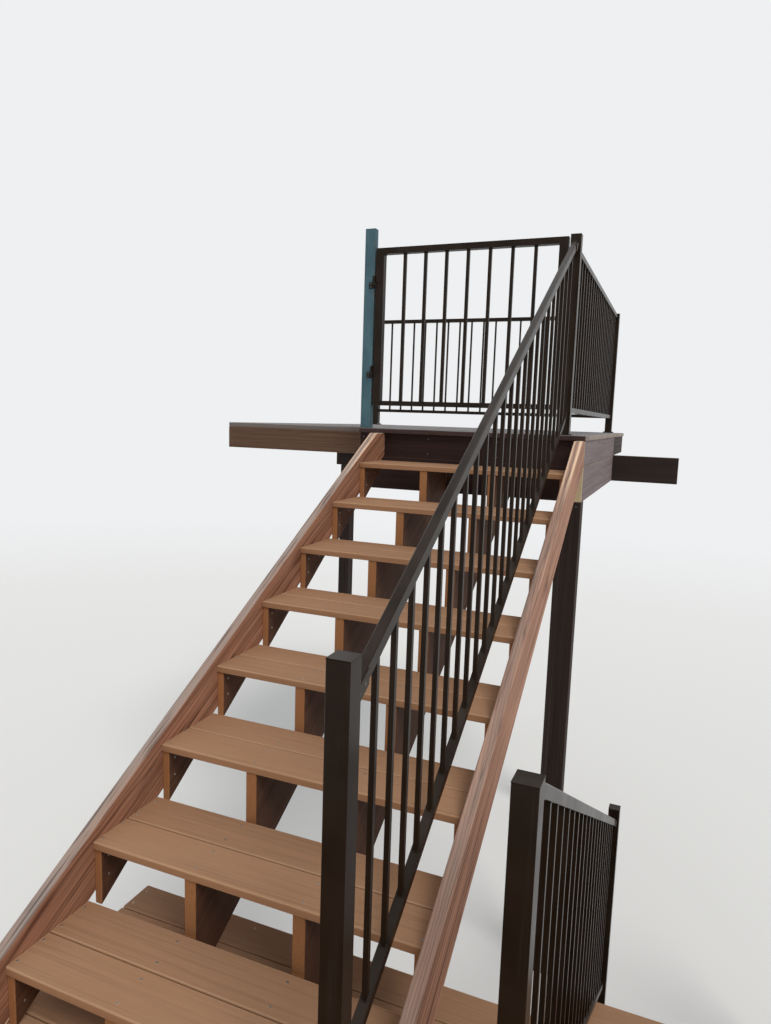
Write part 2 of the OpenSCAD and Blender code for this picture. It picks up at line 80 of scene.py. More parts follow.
# Nails: metres, and for each step of the dome its share of the height and its taper
NAIL_SIDES = 10
NAIL_RADIUS = 0.0036
NAIL_HEIGHT = 0.0009
NAIL_DOME = ((0.6, 0.94), (0.4, 0.6))
NAIL_INSET = 0.024
NAIL_SPACING = 0.4

# Bolts and washers: metres, and shares of their own heights and of a plank's or plate's size
WASHER_SIDES = 20
WASHER_RADIUS = 0.0155
WASHER_HEIGHT = 0.0022
WASHER_TAPER = 0.96
BOLT_SIDES = 6
BOLT_RADIUS = 0.0095
BOLT_HEIGHT = 0.0065
BOLT_SEAT = 0.8
BOLT_CHAMFER = 0.2
BOLT_TAPER = 0.84
BOLT_SPACING = 0.4
BOLT_INSET = 0.1
BOLT_ROW = 0.26
PLATE_BOLT_SCALE = 0.5
PLATE_BOLT_SPREAD = 0.775

# Joist hangers: metres, and shares of their height and length for the nails
HANGER_THICKNESS = 0.0014
HANGER_LENGTH = 0.05
HANGER_FLANGE = 0.032
HANGER_HEIGHT = 0.095
HANGER_NAIL_LEVELS = (0.2, 0.5, 0.8)
HANGER_NAIL_REACH = 0.6

# Welds and post caps: metres, with the shortest and longest edge that takes a bead
BEAD_SIDES = 8
BEAD_RADIUS = 0.0017
FOOT_BEAD_RADIUS = 0.0026
PICKET_WELDS = (0.009, 0.019)
FOOT_WELDS = (0.03, 0.09)
GATE_WELDS = (0.009, 0.05)
HINGE_MARGIN = 0.005
CAP_THICKNESS = 0.0026
CAP_OVERHANG = 1.018

# Growth rings: metres from one to the next
RING_SPACING = 0.0062

# The photograph's viewpoint, worked out from the treads and posts
EYE = Vector((1.5047, -1.2011, 2.9820))
YAW = math.radians(22.105)
PITCH = math.radians(-7.385)
ROLL = math.radians(1.876)
FOCAL_PIXELS = 717.69
PHOTO_LONG_SIDE = 1024
SENSOR = 36.0
NEAREST_SEEN = 0.02
FARTHEST_SEEN = 200.0

# Light and ground
SKY_LEVEL = 0.62
SKY_COLOUR = (0.97, 0.985, 1.0, 1.0)
SUN_LEVEL = 1.5
SUN_SOFTNESS = math.radians(24)
SUN_COLOUR = (1.0, 0.97, 0.93)
SUN_FROM = Vector((1.0, -0.75, 1.55))
FLOOR_SIDES = 96
FLOOR_RADIUS = 45.0
FLOOR_FADE_NEAR = 7.0
FLOOR_FADE_FAR = 20.0
FLOOR_COLOUR = (0.80, 0.80, 0.79, 1.0)
BACKDROP = (0.86, 0.87, 0.88, 1.0)


def paint(code):
    """A colour written as six hex digits, in the linear values that shaders take."""
    channels = [int(code[i:i + 2], 16) / 255 for i in (0, 2, 4)]
    linear = [c / 12.92 if c <= 0.04045 else ((c + 0.055) / 1.055) ** 2.4 for c in channels]
    return (*linear, 1.0)


class Value:
    """An output of a shader node, on which Python's operators add Math nodes."""

    def __init__(self, shader, node, output=0):
        self.shader = shader
        self.node = node
        self.output = output

    def out(self, name):
        """Another output of the same node."""
        return Value(self.shader, self.node, name)

    def math(self, operation, *values):
        return self.shader.add("Math", {"operation": operation}, dict(enumerate(values)))

    def __add__(self, other):
        return self.math("ADD", self, other)

    def __radd__(self, other):
        return self.math("ADD", other, self)

    def __sub__(self, other):
        return self.math("SUBTRACT", self, other)

    def __rsub__(self, other):
        return self.math("SUBTRACT", other, self)

    def __mul__(self, other):
        return self.math("MULTIPLY", self, other)

    def __rmul__(self, other):
        return self.math("MULTIPLY", other, self)

    def __truediv__(self, other):
        return self.math("DIVIDE", self, other)

    def __pow__(self, other):
        return self.math("POWER", self, other)

    def __abs__(self):
        return self.math("ABSOLUTE", self)

    def least(self, other):
        return self.math("MINIMUM", self, other)

    def most(self, other):
        return self.math("MAXIMUM", self, other)

    def sine(self):
        return self.math("SINE", self)

    def fraction(self):
        return self.math("FRACT", self)

    def above(self, level):
        return self.math("GREATER_THAN", self, level)

    def fade(self, start, end):
        """Goes smoothly from 0 at start to 1 at end."""
        settings = {"interpolation_type": "SMOOTHSTEP"}
        return self.shader.add("MapRange", settings, {"Value": self, 1: start, 2: end})


class Shader:
    """The nodes of a material or of the world, written as expressions."""

    def __init__(self, owner):
        owner.use_nodes = True
        self.owner = owner
        self.tree = owner.node_tree
        self.tree.nodes.clear()

    def add(self, kind, settings=None, links=None, output=0):
        """Adds a node with its settings first, then the values and links of its sockets."""
        node = self.tree.nodes.new("ShaderNode" + kind)
        for key, value in (settings or {}).items():
            setattr(node, key, value)
        for key, value in (links or {}).items():
            if isinstance(value, Value):
                self.tree.links.new(value.node.outputs[value.output], node.inputs[key])
            else:
                node.inputs[key].default_value = value
        return Value(self, node, output)

    def attribute(self, name, output="Vector"):
        return self.add("Attribute", {"attribute_name": name}, output=output)

    def vector(self, operation, *values):
        return self.add("VectorMath", {"operation": operation}, dict(enumerate(values)))

    def split(self, vector):
        """The three numbers of a vector."""
        first = self.add("SeparateXYZ", {}, {0: vector}, "X")
        return first, first.out("Y"), first.out("Z")

    def facing_up(self):
        """1 where the surface faces straight up, 0 where it is upright."""
        return self.split(self.add("NewGeometry", output="Normal"))[2]

    def edge_distance(self, local, half):
        """How far a point on a board's side is from the nearest edge of that side."""
        x, y, z = self.split(self.vector("SUBTRACT", half, self.vector("ABSOLUTE", local)))
        return x.least(y).most(x.most(y).least(z))

    def noise(self, place, scale, detail=2.0, roughness=0.5):
        """Cloudy noise from 0 to 1, with its own scale along each axis."""
        stretched = self.vector("MULTIPLY", place, scale)
        links = {"Vector": stretched, "Scale": 1.0, "Detail": detail, "Roughness": roughness}
        return self.add("TexNoise", {}, links)

    def blend(self, first, second, factor):
        settings = {"data_type": "RGBA", "clamp_factor": True}
        return self.add("Mix", settings, {0: factor, 6: first, 7: second}, output=2)

    def tint(self, colour, factor):
        """The colour made brighter or darker by a factor that varies."""
        grey = self.add("CombineColor", {}, {0: factor, 1: factor, 2: factor})
        settings = {"data_type": "RGBA", "blend_type": "MULTIPLY"}
        return self.add("Mix", settings, {0: 1.0, 6: colour, 7: grey}, output=2)

    def bump(self, height, strength, distance):
        links = {"Height": height, "Strength": strength, "Distance": distance}
        return self.add("Bump", {}, links)

    def surface(self, **links):
        """The finished surface, its sockets named with _ for a space."""
        named = {key.replace("_", " "): value for key, value in links.items()}
        return self.finish(self.add("BsdfPrincipled", {}, named))

    def finish(self, shade, kind="OutputMaterial"):
        """Sends the finished shade to the output, and returns what the nodes belong to."""
        self.add(kind, {}, {"Surface": shade})
        return self.owner


def growth_rings(wood, place, local, tone):
    """Rings round a pith that lies under each board at a place of its own, a little wavy."""
    across, through = wood.split(local)[1:]
    sway = wood.noise(place, (1.1, 5.0, 5.0), 3.0) - 0.5
    from_pith_across = across + (tone - 0.5) * 0.22 + sway * 0.05
    from_pith_through = through + 0.03 + (tone * 7.31).fraction() * 0.09
    radius = (from_pith_across ** 2.0 + from_pith_through ** 2.0) ** 0.5 + sway * 0.02
    return ((radius * (math.tau / RING_SPACING)).sine() * 0.5 + 0.5) ** 1.6


def knot_marks(wood, place, knots):
    """The dark hearts of the knots, and the wider halos round them."""
    stretched = wood.vector("MULTIPLY", place, (3.1, 6.3, 6.3))
    knot = wood.add("TexVoronoi", {}, {"Vector": stretched, "Scale": 1.0}, "Distance")
    chosen = wood.add("SeparateColor", {}, {0: knot.out("Color")}).above(1.0 - knots * 0.45)
    return knot.fade(0.13, 0.045) * chosen, knot.fade(0.3, 0.1) * chosen


def crack_marks(wood, place, local, half, patch, checks, splits):
    """Drying cracks in patches, and two long splits that run up from a board's lower end."""
    along, across = wood.split(local)[:2]
    half_along, half_across = wood.split(half)[:2]
    crack_noise = wood.noise(place, (0.7, 34.0, 34.0), 1.0)
    crack = abs(crack_noise - 0.5).fade(0.014, 0.003) * patch.fade(0.42, 0.58) * checks
    wander = (wood.noise(place, (1.9, 0.0, 0.0), 4.0) - 0.5) * 0.03
    split = abs(abs(across + wander) - half_across * 0.36).fade(0.0034, 0.0014)
    lower_end = (along / half_along).fade(-0.28, -0.45)
    return crack.most(split * lower_end * splits)


def timber(name, colours, weather, knots, checks, arris, figure=0.8, splits=0.0, edge_wear_and_highlight=0.4,
           rough=0.76, spread=0.25):
    """Sawn wood whose grain follows each board, with stained faces, bare cuts, and worn arrises
    that carry a painted highlight.

    The colours are those of early wood, late wood, bleached wood and bare wood; the bare wood also
    paints the highlight on the worn arrises. The arris is how far in from its edges a board is worn
    and highlit, in metres, and spread is how much the boards differ. The other values say how
    strong each effect is.
    """
    early, late, worn, bare = map(paint, colours)
    wood = Shader(bpy.data.materials.new(name))
    local = wood.attribute("local")
    half = wood.attribute("half")
    tone = wood.attribute("tone", "Fac")
    cut = wood.attribute("cut", "Fac").fade(0.26, 0.42)
    shift = wood.add("CombineXYZ", {}, {"X": tone * 37.0, "Y": tone * 11.0, "Z": tone * 5.0})
    place = wood.vector("ADD", local, shift)

    rings = growth_rings(wood, place, local, tone)
    fibre = wood.noise(place, (9.0, 330.0, 330.0), 2.0)
    streak = wood.noise(place, (1.3, 46.0, 46.0), 4.0, 0.62)
    patch = wood.noise(place, (2.4, 5.0, 5.0), 3.0)
    heart, halo = knot_marks(wood, place, knots)
    crack = crack_marks(wood, place, local, half, patch, checks, splits)

    grain = rings * 0.42 + streak.fade(0.3, 0.72) * 0.62 + halo * 0.35
    colour = wood.blend(early, late, grain * figure)
    colour = wood.blend(colour, late, heart * 0.85)
    sawn = wood.blend(bare, wood.tint(bare, 0.72), rings * 0.7 + (fibre - 0.5) * 0.5)
    colour = wood.blend(colour, sawn, cut)
    brightness = 1.0 + (tone - 0.5) * spread + (patch - 0.5) * 0.4 * figure + (fibre - 0.5) * 0.2
    colour = wood.tint(colour, brightness)
    upward = wood.facing_up().fade(0.2, 0.9)
    bleached = upward * weather * (streak * 0.8 + patch * 0.9 - 0.25)
    edge = wood.edge_distance(local, half)
    # Arrises worn to bare wood, laid on strongly enough to paint a highlight along each edge.
    worn_edge_and_highlight = edge.fade(arris, arris * 0.3) * (patch * 0.7 + 0.4) * edge_wear_and_highlight
    groove = wood.noise(place, (1.6, 130.0, 130.0), 2.0).fade(0.55, 0.67) * upward * weather
    colour = wood.blend(colour, worn, bleached)
    colour = wood.blend(colour, bare, worn_edge_and_highlight)
    colour = wood.tint(colour, (1.0 - crack * 0.78 - heart * 0.35 - groove * 0.5).most(0.2))
    height = fibre * 0.45 + rings * 0.3 * figure + streak * 0.5 - crack * 2.2 - heart * 0.5 - groove
    return wood.surface(
        Base_Color=colour,
        Roughness=rough + (streak - 0.5) * 0.2 + crack * 0.1 - rings * 0.05,
        Specular_IOR_Level=0.22,
        Normal=wood.bump(height, 0.5, 0.0011),
    )


def powder_coat(name, colours, rough):
    """Powder-coated steel with orange peel, rain streaks, dust on what faces up, and cloudy patches
    of painted sheen.
    """
    dark, painted_sheen, dust = map(paint, colours)
    coat = Shader(bpy.data.materials.new(name))
    place = coat.add("TexCoord", output="Object")
    peel = coat.noise(place, (420.0, 420.0, 420.0), 2.0)
    cloud = coat.noise(place, (7.0, 7.0, 7.0), 3.0)
    streak = coat.noise(place, (55.0, 55.0, 2.2), 3.0)
    upward = coat.facing_up()
    settled = upward.fade(0.45, 0.98) * cloud.fade(0.25, 0.75) * 0.2
    run = streak.fade(0.52, 0.78) * 0.1 * (1.0 - upward.fade(0.3, 0.8))
    # Cloudy patches of a lighter warm colour: painted sheen on the dark coat.
    base = coat.blend(dark, painted_sheen, cloud.fade(0.3, 0.75) * 0.6)
    base = coat.blend(base, dust, settled + run)
    return coat.surface(
        Base_Color=base,
        Metallic=0.02,
        Roughness=rough + (cloud - 0.5) * 0.16 + settled * 0.3 + run * 0.4,
        IOR=1.38,
        Specular_IOR_Level=0.2,
        Normal=coat.bump(peel, 0.1, 0.0004),
    )


def galvanised(name, colours, rough):
    """Zinc-coated steel with its crystal spangle and white bloom."""
    bright, dull = map(paint, colours)
    zinc = Shader(bpy.data.materials.new(name))
    place = zinc.add("TexCoord", output="Object")
    spangle = zinc.add("TexVoronoi", {}, {"Vector": place, "Scale": 130.0}, "Color")
    grain = zinc.add("SeparateColor", {}, {0: spangle})
    cloud = zinc.noise(place, (18.0, 18.0, 18.0), 4.0)
    base = zinc.blend(bright, dull, cloud.fade(0.35, 0.7) * 0.7)
    base = zinc.tint(base, 0.86 + grain * 0.26)
    return zinc.surface(
        Base_Color=base,
        Metallic=0.85 - cloud * 0.35,
        Roughness=rough + (grain - 0.5) * 0.14 + cloud * 0.12,
        Normal=zinc.bump(cloud, 0.1, 0.0006),
    )


def painted_wood(name, colours):
    """Paint on a board: chalky, with brush marks along it and bare wood at worn corners."""
    fresh, chalk, under = map(paint, colours)
    coat = Shader(bpy.data.materials.new(name))
    local = coat.attribute("local")
    edge = coat.edge_distance(local, coat.attribute("half"))
    brush = coat.noise(local, (3.0, 240.0, 240.0), 3.0)
    cloud = coat.noise(local, (6.0, 14.0, 14.0), 4.0)
    chips = coat.noise(local, (60.0, 90.0, 90.0), 3.0)
    chipped = edge.fade(0.006, 0.0005) * chips.fade(0.5, 0.62)
    base = coat.blend(fresh, chalk, cloud.fade(0.35, 0.75) * 0.55 + brush * 0.12)
    base = coat.blend(base, under, chipped)
    return coat.surface(
        Base_Color=base,
        Roughness=0.5 + cloud * 0.2 + chipped * 0.25,
        Specular_IOR_Level=0.4,
        Normal=coat.bump(brush * 0.6 + cloud * 0.3 - chipped * 1.5, 0.3, 0.0008),
    )


FINISHES = {
    "tread_boards": timber(
        "tread_wood", ("a67c5c", "90694c", "b09780", "c7a382"),
        weather=0.22, knots=0.0, checks=0.05, arris=0.006, figure=0.38, edge_wear_and_highlight=0.5, spread=0.12,
    ),
    "deck_boards": timber(
        "deck_wood", ("746b67", "564c48", "949498", "978b80"),
        weather=0.8, knots=0.3, checks=0.2, arris=0.006, figure=0.7, edge_wear_and_highlight=0.45,
    ),
    # The outer stringers' pale bare wood, laid strongly on their worn arrises, paints a highlight
    # along them.
    "outer_stringers": timber(
        "stringer_wood", ("b58469", "6a4333", "a49a93", "e6c3a6"),
        weather=1.0, knots=0.6, checks=0.6, arris=0.015, figure=1.0, edge_wear_and_highlight=1.2, rough=0.68,
    ),
    # Notched stringers and tread blocks: planed faces coloured dark, deepened as painted shade for
    # where they lie under the treads; the orange cuts are bare wood.
    "inner_stringers": timber(
        "notched_wood", ("65432f", "462c1f", "8a7464", "ab774e"),
        weather=0.2, knots=0.6, checks=0.2, arris=0.004,
    ),
    "weathered_trim": timber(
        "side_trim_wood", ("7e7071", "5f5355", "968f91", "cbb792"),
        weather=0.5, knots=0.9, checks=0.3, arris=0.004, edge_wear_and_highlight=0.3,
    ),
    "front_trim": timber(
        "front_trim_wood", ("36221e", "1f1311", "5a4740", "6f574a"),
        weather=0.3, knots=0.4, checks=0.2, arris=0.004,
    ),
    # Dark wood, coloured darker still as painted shade for the posts, beams and side rims that
    # stand in shadow.
    "dark_timber": timber(
        "post_wood", ("392c27", "201816", "594b45", "6d5847"),
        weather=0.4, knots=0.4, checks=0.8, arris=0.004, edge_wear_and_highlight=0.3,
    ),
    "frame_timber": timber(
        "joist_wood", ("6c5140", "483427", "827063", "96755a"),
        weather=0.4, knots=0.7, checks=0.4, arris=0.004,
    ),
    "painted_trim": painted_wood("teal_paint", ("34545f", "567680", "54463c")),
    # The middle colour of each coat paints its sheen.
    "hinge_steel": powder_coat("hinge_coat", ("191614", "25201d", "57504b"), 0.42),
    "railing_steel": powder_coat("railing_coat", ("20170f", "30241c", "55504c"), 0.3),
}
NOSING_WOOD = timber(
    "nosing_wood", ("4a3733", "2f2321", "949498", "8d8078"),
    weather=1.5, knots=0.3, checks=0.2, arris=0.004, figure=0.7, edge_wear_and_highlight=0.3,
)
# The upper right stringer, with splits and the same painted highlight along its worn arrises.
SPLIT_STRINGER = timber(
    "split_stringer_wood", ("bd8d74", "744d3b", "a49a93", "eecbae"), weather=0.6, knots=0.6,
    checks=0.5, arris=0.016, figure=1.0, splits=1.0, edge_wear_and_highlight=1.4, rough=0.68,
)
SCREW_STEEL = galvanised("screw_steel", ("a79f94", "7a6f65"), 0.36)
NAIL_STEEL = galvanised("nail_zinc", ("7b7672", "554d47"), 0.5)
BOLT_STEEL = galvanised("bolt_zinc", ("8d8f90", "6a6866"), 0.4)
HANGER_STEEL = galvanised("hanger_zinc", ("8f9498", "6c7074"), 0.42)


def solids(bm):
    """The separate solids of a mesh, as lists of vertices, from left to right and front to back."""
    seen = set()
    found = []
    for start in bm.verts:
        if start in seen:
            continue
        seen.add(start)
        solid = [start]
        for vertex in solid:
            for edge in vertex.link_edges:
                other = edge.other_vert(vertex)
                if other not in seen:
                    seen.add(other)
                    solid.append(other)
        found.append(solid)
    return sorted(found, key=lambda solid: tuple(round(c, 3) for c in corners(solid)[0]))


def corners(vertices, axes=None):
    """The lowest and highest corner of some vertices, along the world's axes or others."""
    axes = axes or Matrix.Identity(3)
    places = [axes @ vertex.co for vertex in vertices]
    low = Vector(min(place[i] for place in places) for i in range(3))
    high = Vector(max(place[i] for place in places) for i in range(3))
    return low, high


def merged(node):
    """A copy of a node's mesh, with its loose triangles joined and its flat faces whole."""
    bm = bmesh.new()
    bm.from_mesh(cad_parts[node].data)
    bmesh.ops.remove_doubles(bm, verts=bm.verts, dist=CLOSE)
    bmesh.ops.dissolve_limit(bm, angle_limit=FLAT, verts=bm.verts, edges=bm.edges)
    return bm


def boxes(node):
    """The lowest and highest corner of each solid of a node."""
    bm = merged(node)
    found = [corners(solid) for solid in solids(bm)]
    bm.free()
    return found


def centres(node, axis=0):
    """The middle of each solid of a node along one axis, without repeats."""
    return sorted({round((low[axis] + high[axis]) / 2, 3) for low, high in boxes(node)})


def is_square(face, axis):
    """Whether a face looks straight along an axis, either way."""
    return abs(face.normal[axis]) > SQUARE


def ease(bm, width, segments):
    """Rounds every sharp edge."""
    sharp = [edge for edge in bm.edges if edge.calc_face_angle(0.0) > SHARP]
    bmesh.ops.bevel(
        bm,
        geom=sharp,
        offset=width,
        segments=segments,
        profile=0.5,
        affect="EDGES",
        clamp_overlap=True,
        material=-1,
    )


def board_axes(low, high):
    """Rows along, across and through an upright or level board, from its size."""
    size = high - low
    order = sorted(range(3), key=lambda i: -round(size[i], 3))
    return Matrix([Vector(1.0 if i == j else 0.0 for j in range(3)) for i in order])


def flight_axes(flight):
    """Rows along, across and through the boards that slope with a flight's steps."""
    lows = [low for low, high in boxes(flight + "_treads")]
    first = min(lows, key=lambda low: low.y)
    last = max(lows, key=lambda low: low.y)
    along = Vector((0.0, last.y - first.y, last.z - first.z)).normalized()
    return Matrix([along, Vector((0.0, -along.z, along.y)), Vector((1.0, 0.0, 0.0))])


def mark_boards(bm, axes=None):
    """Gives each board its place, size and tone, which its grain follows, and marks its cuts."""
    local = bm.verts.layers.float_vector.new("local")
    half = bm.verts.layers.float_vector.new("half")
    tone = bm.verts.layers.float.new("tone")
    cut = bm.faces.layers.float.new("cut")
    bm.normal_update()
    for solid in solids(bm):
        rows = axes or board_axes(*corners(solid))
        low, high = corners(solid, rows)
        shade = draw.random()
        for vertex in solid:
            vertex[local] = rows @ vertex.co - (low + high) / 2
            vertex[half] = (high - low) / 2
            vertex[tone] = shade
            for face in vertex.link_faces:
                face[cut] = abs((rows @ face.normal).x)


def placed(bm, name, material):
    """Turns a finished bmesh into an object of the scene."""
    mesh = bpy.data.meshes.new(name)
    bm.to_mesh(mesh)
    bm.free()
    mesh.materials.append(material)
    piece = bpy.data.objects.new(name, mesh)
    bpy.context.scene.collection.objects.link(piece)
    return piece


def make(bm, name, material, body="structure"):
    """Turns a finished bmesh into a piece that rides on a body."""
    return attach(placed(bm, name, material), body)


def dress_timber(node, slot, width=PLANK_EASE, axes=None, finish=None):
    """Puts eased boards with their own grain in the place of a node's plain solids."""
    bm = merged(node)
    ease(bm, width, 2)
    mark_boards(bm, axes)
    piece = make(bm, node + "_wood", finish or FINISHES[slot])
    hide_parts(node)


def dress_steel(node, slot, width=STEEL_EASE, body="structure"):
    """Puts steel with softened arrises in the place of a node's plain solids."""
    bm = merged(node)
    ease(bm, width, 1)
    piece = make(bm, node + "_steel", FINISHES[slot], body)
    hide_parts(node)


BOARDS = {
    "tread_boards": [
        "upper_treads", "lower_treads", "landing_boards", "landing_boards_under_flight",
    ],
    "deck_boards": ["deck_boards"],
}
PLANKS = {
    "weathered_trim": ["deck_side_trim"],
    "front_trim": ["deck_front_trim"],
    "dark_timber": [
        "landing_beams", "landing_posts", "deck_front_beam", "deck_back_beam", "deck_posts",
        "deck_side_rims",
    ],
    "frame_timber": [
        "landing_joists", "landing_side_rims", "landing_end_rims", "deck_joists",
        "deck_end_rims", "deck_ledger",
    ],
    "painted_trim": ["gate_hinge_post"],
}
STEEL_POSTS = [
    "upper_foot_post", "upper_head_post", "deck_railing_posts", "lower_head_posts",
    "lower_foot_posts", "landing_railing_posts",
]
SLOPING_RAILINGS = ["upper_railing", "lower_left_railing", "lower_right_railing"]
# Each railing, and the axis that it runs along
RAILING_RUNS = {
    "upper_railing": 1,
    "deck_side_railing": 1,
    "deck_back_railing": 0,
    "lower_left_railing": 1,
    "lower_right_railing": 1,
    "landing_side_railing": 1,
    "landing_near_railing": 0,
}

for slot, nodes in BOARDS.items():
    for node in nodes:
        dress_timber(node, slot, BOARD_EASE)
dress_timber("deck_nosing_board", "deck_boards", BOARD_EASE, finish=NOSING_WOOD)
for slot, nodes in PLANKS.items():
    for node in nodes:
        dress_timber(node, slot)
for flight, right_finish in (("upper", SPLIT_STRINGER), ("lower", None)):
    axes = flight_axes(flight)
    left, right = flight + "_left_stringer", flight + "_right_stringer"
    dress_timber(left, "outer_stringers", STRINGER_EASE, axes)
    dress_timber(right, "outer_stringers", STRINGER_EASE, axes, right_finish)
    dress_timber(flight + "_inner_stringers", "inner_stringers", axes=axes)
    dress_timber(flight + "_tread_blocks", "inner_stringers", axes=axes)
for node in [*STEEL_POSTS, *RAILING_RUNS]:
    dress_steel(node, "railing_steel")
dress_steel("gate_hinge_halves", "hinge_steel", PLATE_EASE)
dress_steel("gate_leaf", "railing_steel", STEEL_EASE, "gate")


def spot(place, direction=UP):
    """A place for a fixing that stands on a surface and points away from it."""
    turn = Vector(direction).to_track_quat("Z", "Y").to_matrix().to_4x4()
    return Matrix.Translation(place) @ turn


def repeated(template, places):
    """One mesh that holds a copy of the template at each place."""
    mesh = bpy.data.meshes.new("template")
    template.to_mesh(mesh)
    template.free()
    joined = bmesh.new()
    for place in places:
        copy = mesh.copy()
        copy.transform(place)
        joined.from_mesh(copy)
        bpy.data.meshes.remove(copy)
    bpy.data.meshes.remove(mesh)
    return joined


def disc(bm, sides, radius, level=0.0):
    """A flat disc, as the list of its one face."""
    made = bmesh.ops.create_circle(
        bm,
        cap_ends=True,
        segments=sides,
        radius=radius,
        matrix=Matrix.Translation((0, 0, level)),
    )
    return list(made["verts"][0].link_faces)


def raised(bm, lid, height, taper=1.0):
    """Pulls a lid up from its rim and draws it in, and returns the new lid."""
    grown = bmesh.ops.extrude_face_region(bm, geom=lid)
    top = [part for part in grown["geom"] if isinstance(part, bmesh.types.BMVert)]
    bmesh.ops.translate(bm, verts=top, vec=(0, 0, height))
    bmesh.ops.scale(bm, verts=top, vec=(taper, taper, 1.0))
    return [part for part in grown["geom"] if isinstance(part, bmesh.types.BMFace)]


def screw_head():
    """A low round head with a sunk recess for the driver, its rim on the plane z = 0."""
    bm = bmesh.new()
    lid = raised(bm, disc(bm, SCREW_SIDES, SCREW_RADIUS), SCREW_HEIGHT, SCREW_TAPER)
    bmesh.ops.inset_region(bm, faces=lid, thickness=SCREW_RADIUS * RECESS_RIM, depth=0)
    slope = SCREW_RADIUS * RECESS_SLOPE
    bmesh.ops.inset_region(bm, faces=lid, thickness=slope, depth=-SCREW_HEIGHT)
    bmesh.ops.recalc_face_normals(bm, faces=bm.faces)
    return bm


def nail_head():
    """A round head, slightly domed."""
    bm = bmesh.new()
    lid = disc(bm, NAIL_SIDES, NAIL_RADIUS)
    for share, taper in NAIL_DOME:
        lid = raised(bm, lid, NAIL_HEIGHT * share, taper)
    bmesh.ops.recalc_face_normals(bm, faces=bm.faces)
    return bm


def bolt_head(scale=1.0):
    """A six-sided head with a chamfered top, set a little into a round washer."""
    bm = bmesh.new()
    raised(bm, disc(bm, WASHER_SIDES, WASHER_RADIUS), WASHER_HEIGHT, WASHER_TAPER)
    foot = disc(bm, BOLT_SIDES, BOLT_RADIUS, WASHER_HEIGHT * BOLT_SEAT)
    lid = raised(bm, foot, BOLT_HEIGHT * (1 - BOLT_CHAMFER))
    raised(bm, lid, BOLT_HEIGHT * BOLT_CHAMFER, BOLT_TAPER)
    bmesh.ops.scale(bm, verts=bm.verts, vec=(scale, scale, scale))
    bmesh.ops.recalc_face_normals(bm, faces=bm.faces)
    return bm


def board_screws(node, lines):
    """Two screws in each board over each line that carries it, given as X places."""
    places = []
    for low, high in boxes(node):
        inset = min(SCREW_INSET, (high.y - low.y) / 4)
        for x in lines:
            if low.x + BOARD_END < x < high.x - BOARD_END:
                places.append(spot((x, low.y + inset, high.z)))
                places.append(spot((x, high.y - inset, high.z)))
    return places


def tread_lines(flight):
    """X of the screws that hold a flight's treads to its blocks and inner stringers."""
    low, high = boxes(flight + "_treads")[0]
    block_low, block_high = boxes(flight + "_tread_blocks")[0]
    inset = (block_high.x - block_low.x) / 2
    return [low.x + inset, high.x - inset] + centres(flight + "_inner_stringers")


def block_screws(flight):
    """Three screws from each tread block into the outer stringer behind it."""
    middle = centres(flight + "_treads")[0]
    places = []
    for low, high in boxes(flight + "_tread_blocks"):
        x, inward = (high.x, 1) if low.x < middle else (low.x, -1)
        for back, down in BLOCK_SCREW_PLACES:
            places.append(spot((x, low.y + back, high.z - down), (inward, 0, 0)))
    return places


def column_spots(box, axis, outward, stations, rows=2, inset=NAIL_INSET):
    """Places one above another on an upright side of a plank, at each station along it."""
    low, high = box
    direction = [0, 0, 0]
    direction[axis] = outward
    places = []
    for station in stations:
        for row in range(rows):
            share = row / (rows - 1)
            level = low.z + inset + (high.z - low.z - 2 * inset) * share
            place = [station, station, level]
            place[axis] = high[axis] if outward > 0 else low[axis]
            places.append(spot(place, direction))
    return places


def spaced(start, end, spacing, inset):
    """Even stations between two ends, no further apart than the spacing."""
    reach = end - start - 2 * inset
    count = max(1, math.ceil(reach / spacing))
    return [start + inset + reach * k / count for k in range(count + 1)]


def rim_nails(rims, joists):
    """Three nails through each end rim into every joist that meets it."""
    rows = centres(joists, 1)
    middle = sum(rows) / len(rows)
    places = []
    for low, high in boxes(rims):
        stations = [x for x in centres(joists) if low.x < x < high.x]
        outward = -1 if low.y < middle else 1
        places += column_spots((low, high), 1, outward, stations, rows=3)
    return places


def corner_nails(rims, ends):
    """Three nails through each side rim into the end rims that it meets."""
    places = []
    for low, high in boxes(rims):
        stations = [y for y in centres(ends, 1) if low.y < y < high.y]
        outward = -1 if low.x < 0 else 1
        places += column_spots((low, high), 0, outward, stations, rows=3)
    return places


def post_head_nails(node):
    """Two nails on the front and back of each post's head, driven up into its beam."""
    places = []
    for low, high in boxes(node):
        for y, outward in ((low.y, -1), (high.y, 1)):
            for x in (low.x + NAIL_INSET, high.x - NAIL_INSET):
                places.append(spot((x, y, high.z - NAIL_INSET), (0, outward, 0)))
    return places


def frame_nails(name):
    """The nails that hold the frame of the landing or deck together."""
    sides, ends = name + "_side_rims", name + "_end_rims"
    rims = rim_nails(ends, name + "_joists") + corner_nails(sides, ends)
    return rims + post_head_nails(name + "_posts")


def trim_nails(node, axis, outward):
    """Pairs of nails along each trim board."""
    run = 1 - axis
    places = []
    for low, high in boxes(node):
        stations = spaced(low[run], high[run], NAIL_SPACING, NAIL_INSET)
        places += column_spots((low, high), axis, outward, stations)
    return places


def plank_bolts(box, axis, outward):
    """Bolts in two rows along a plank, set in turn high and low."""
    low, high = box
    run = 1 - axis
    stations = spaced(low[run], high[run], BOLT_SPACING, BOLT_INSET)
    inset = (high.z - low.z) * BOLT_ROW
    columns = column_spots(box, axis, outward, stations, inset=inset)
    return [place for i, place in enumerate(columns) if i % 2 == i // 2 % 2]


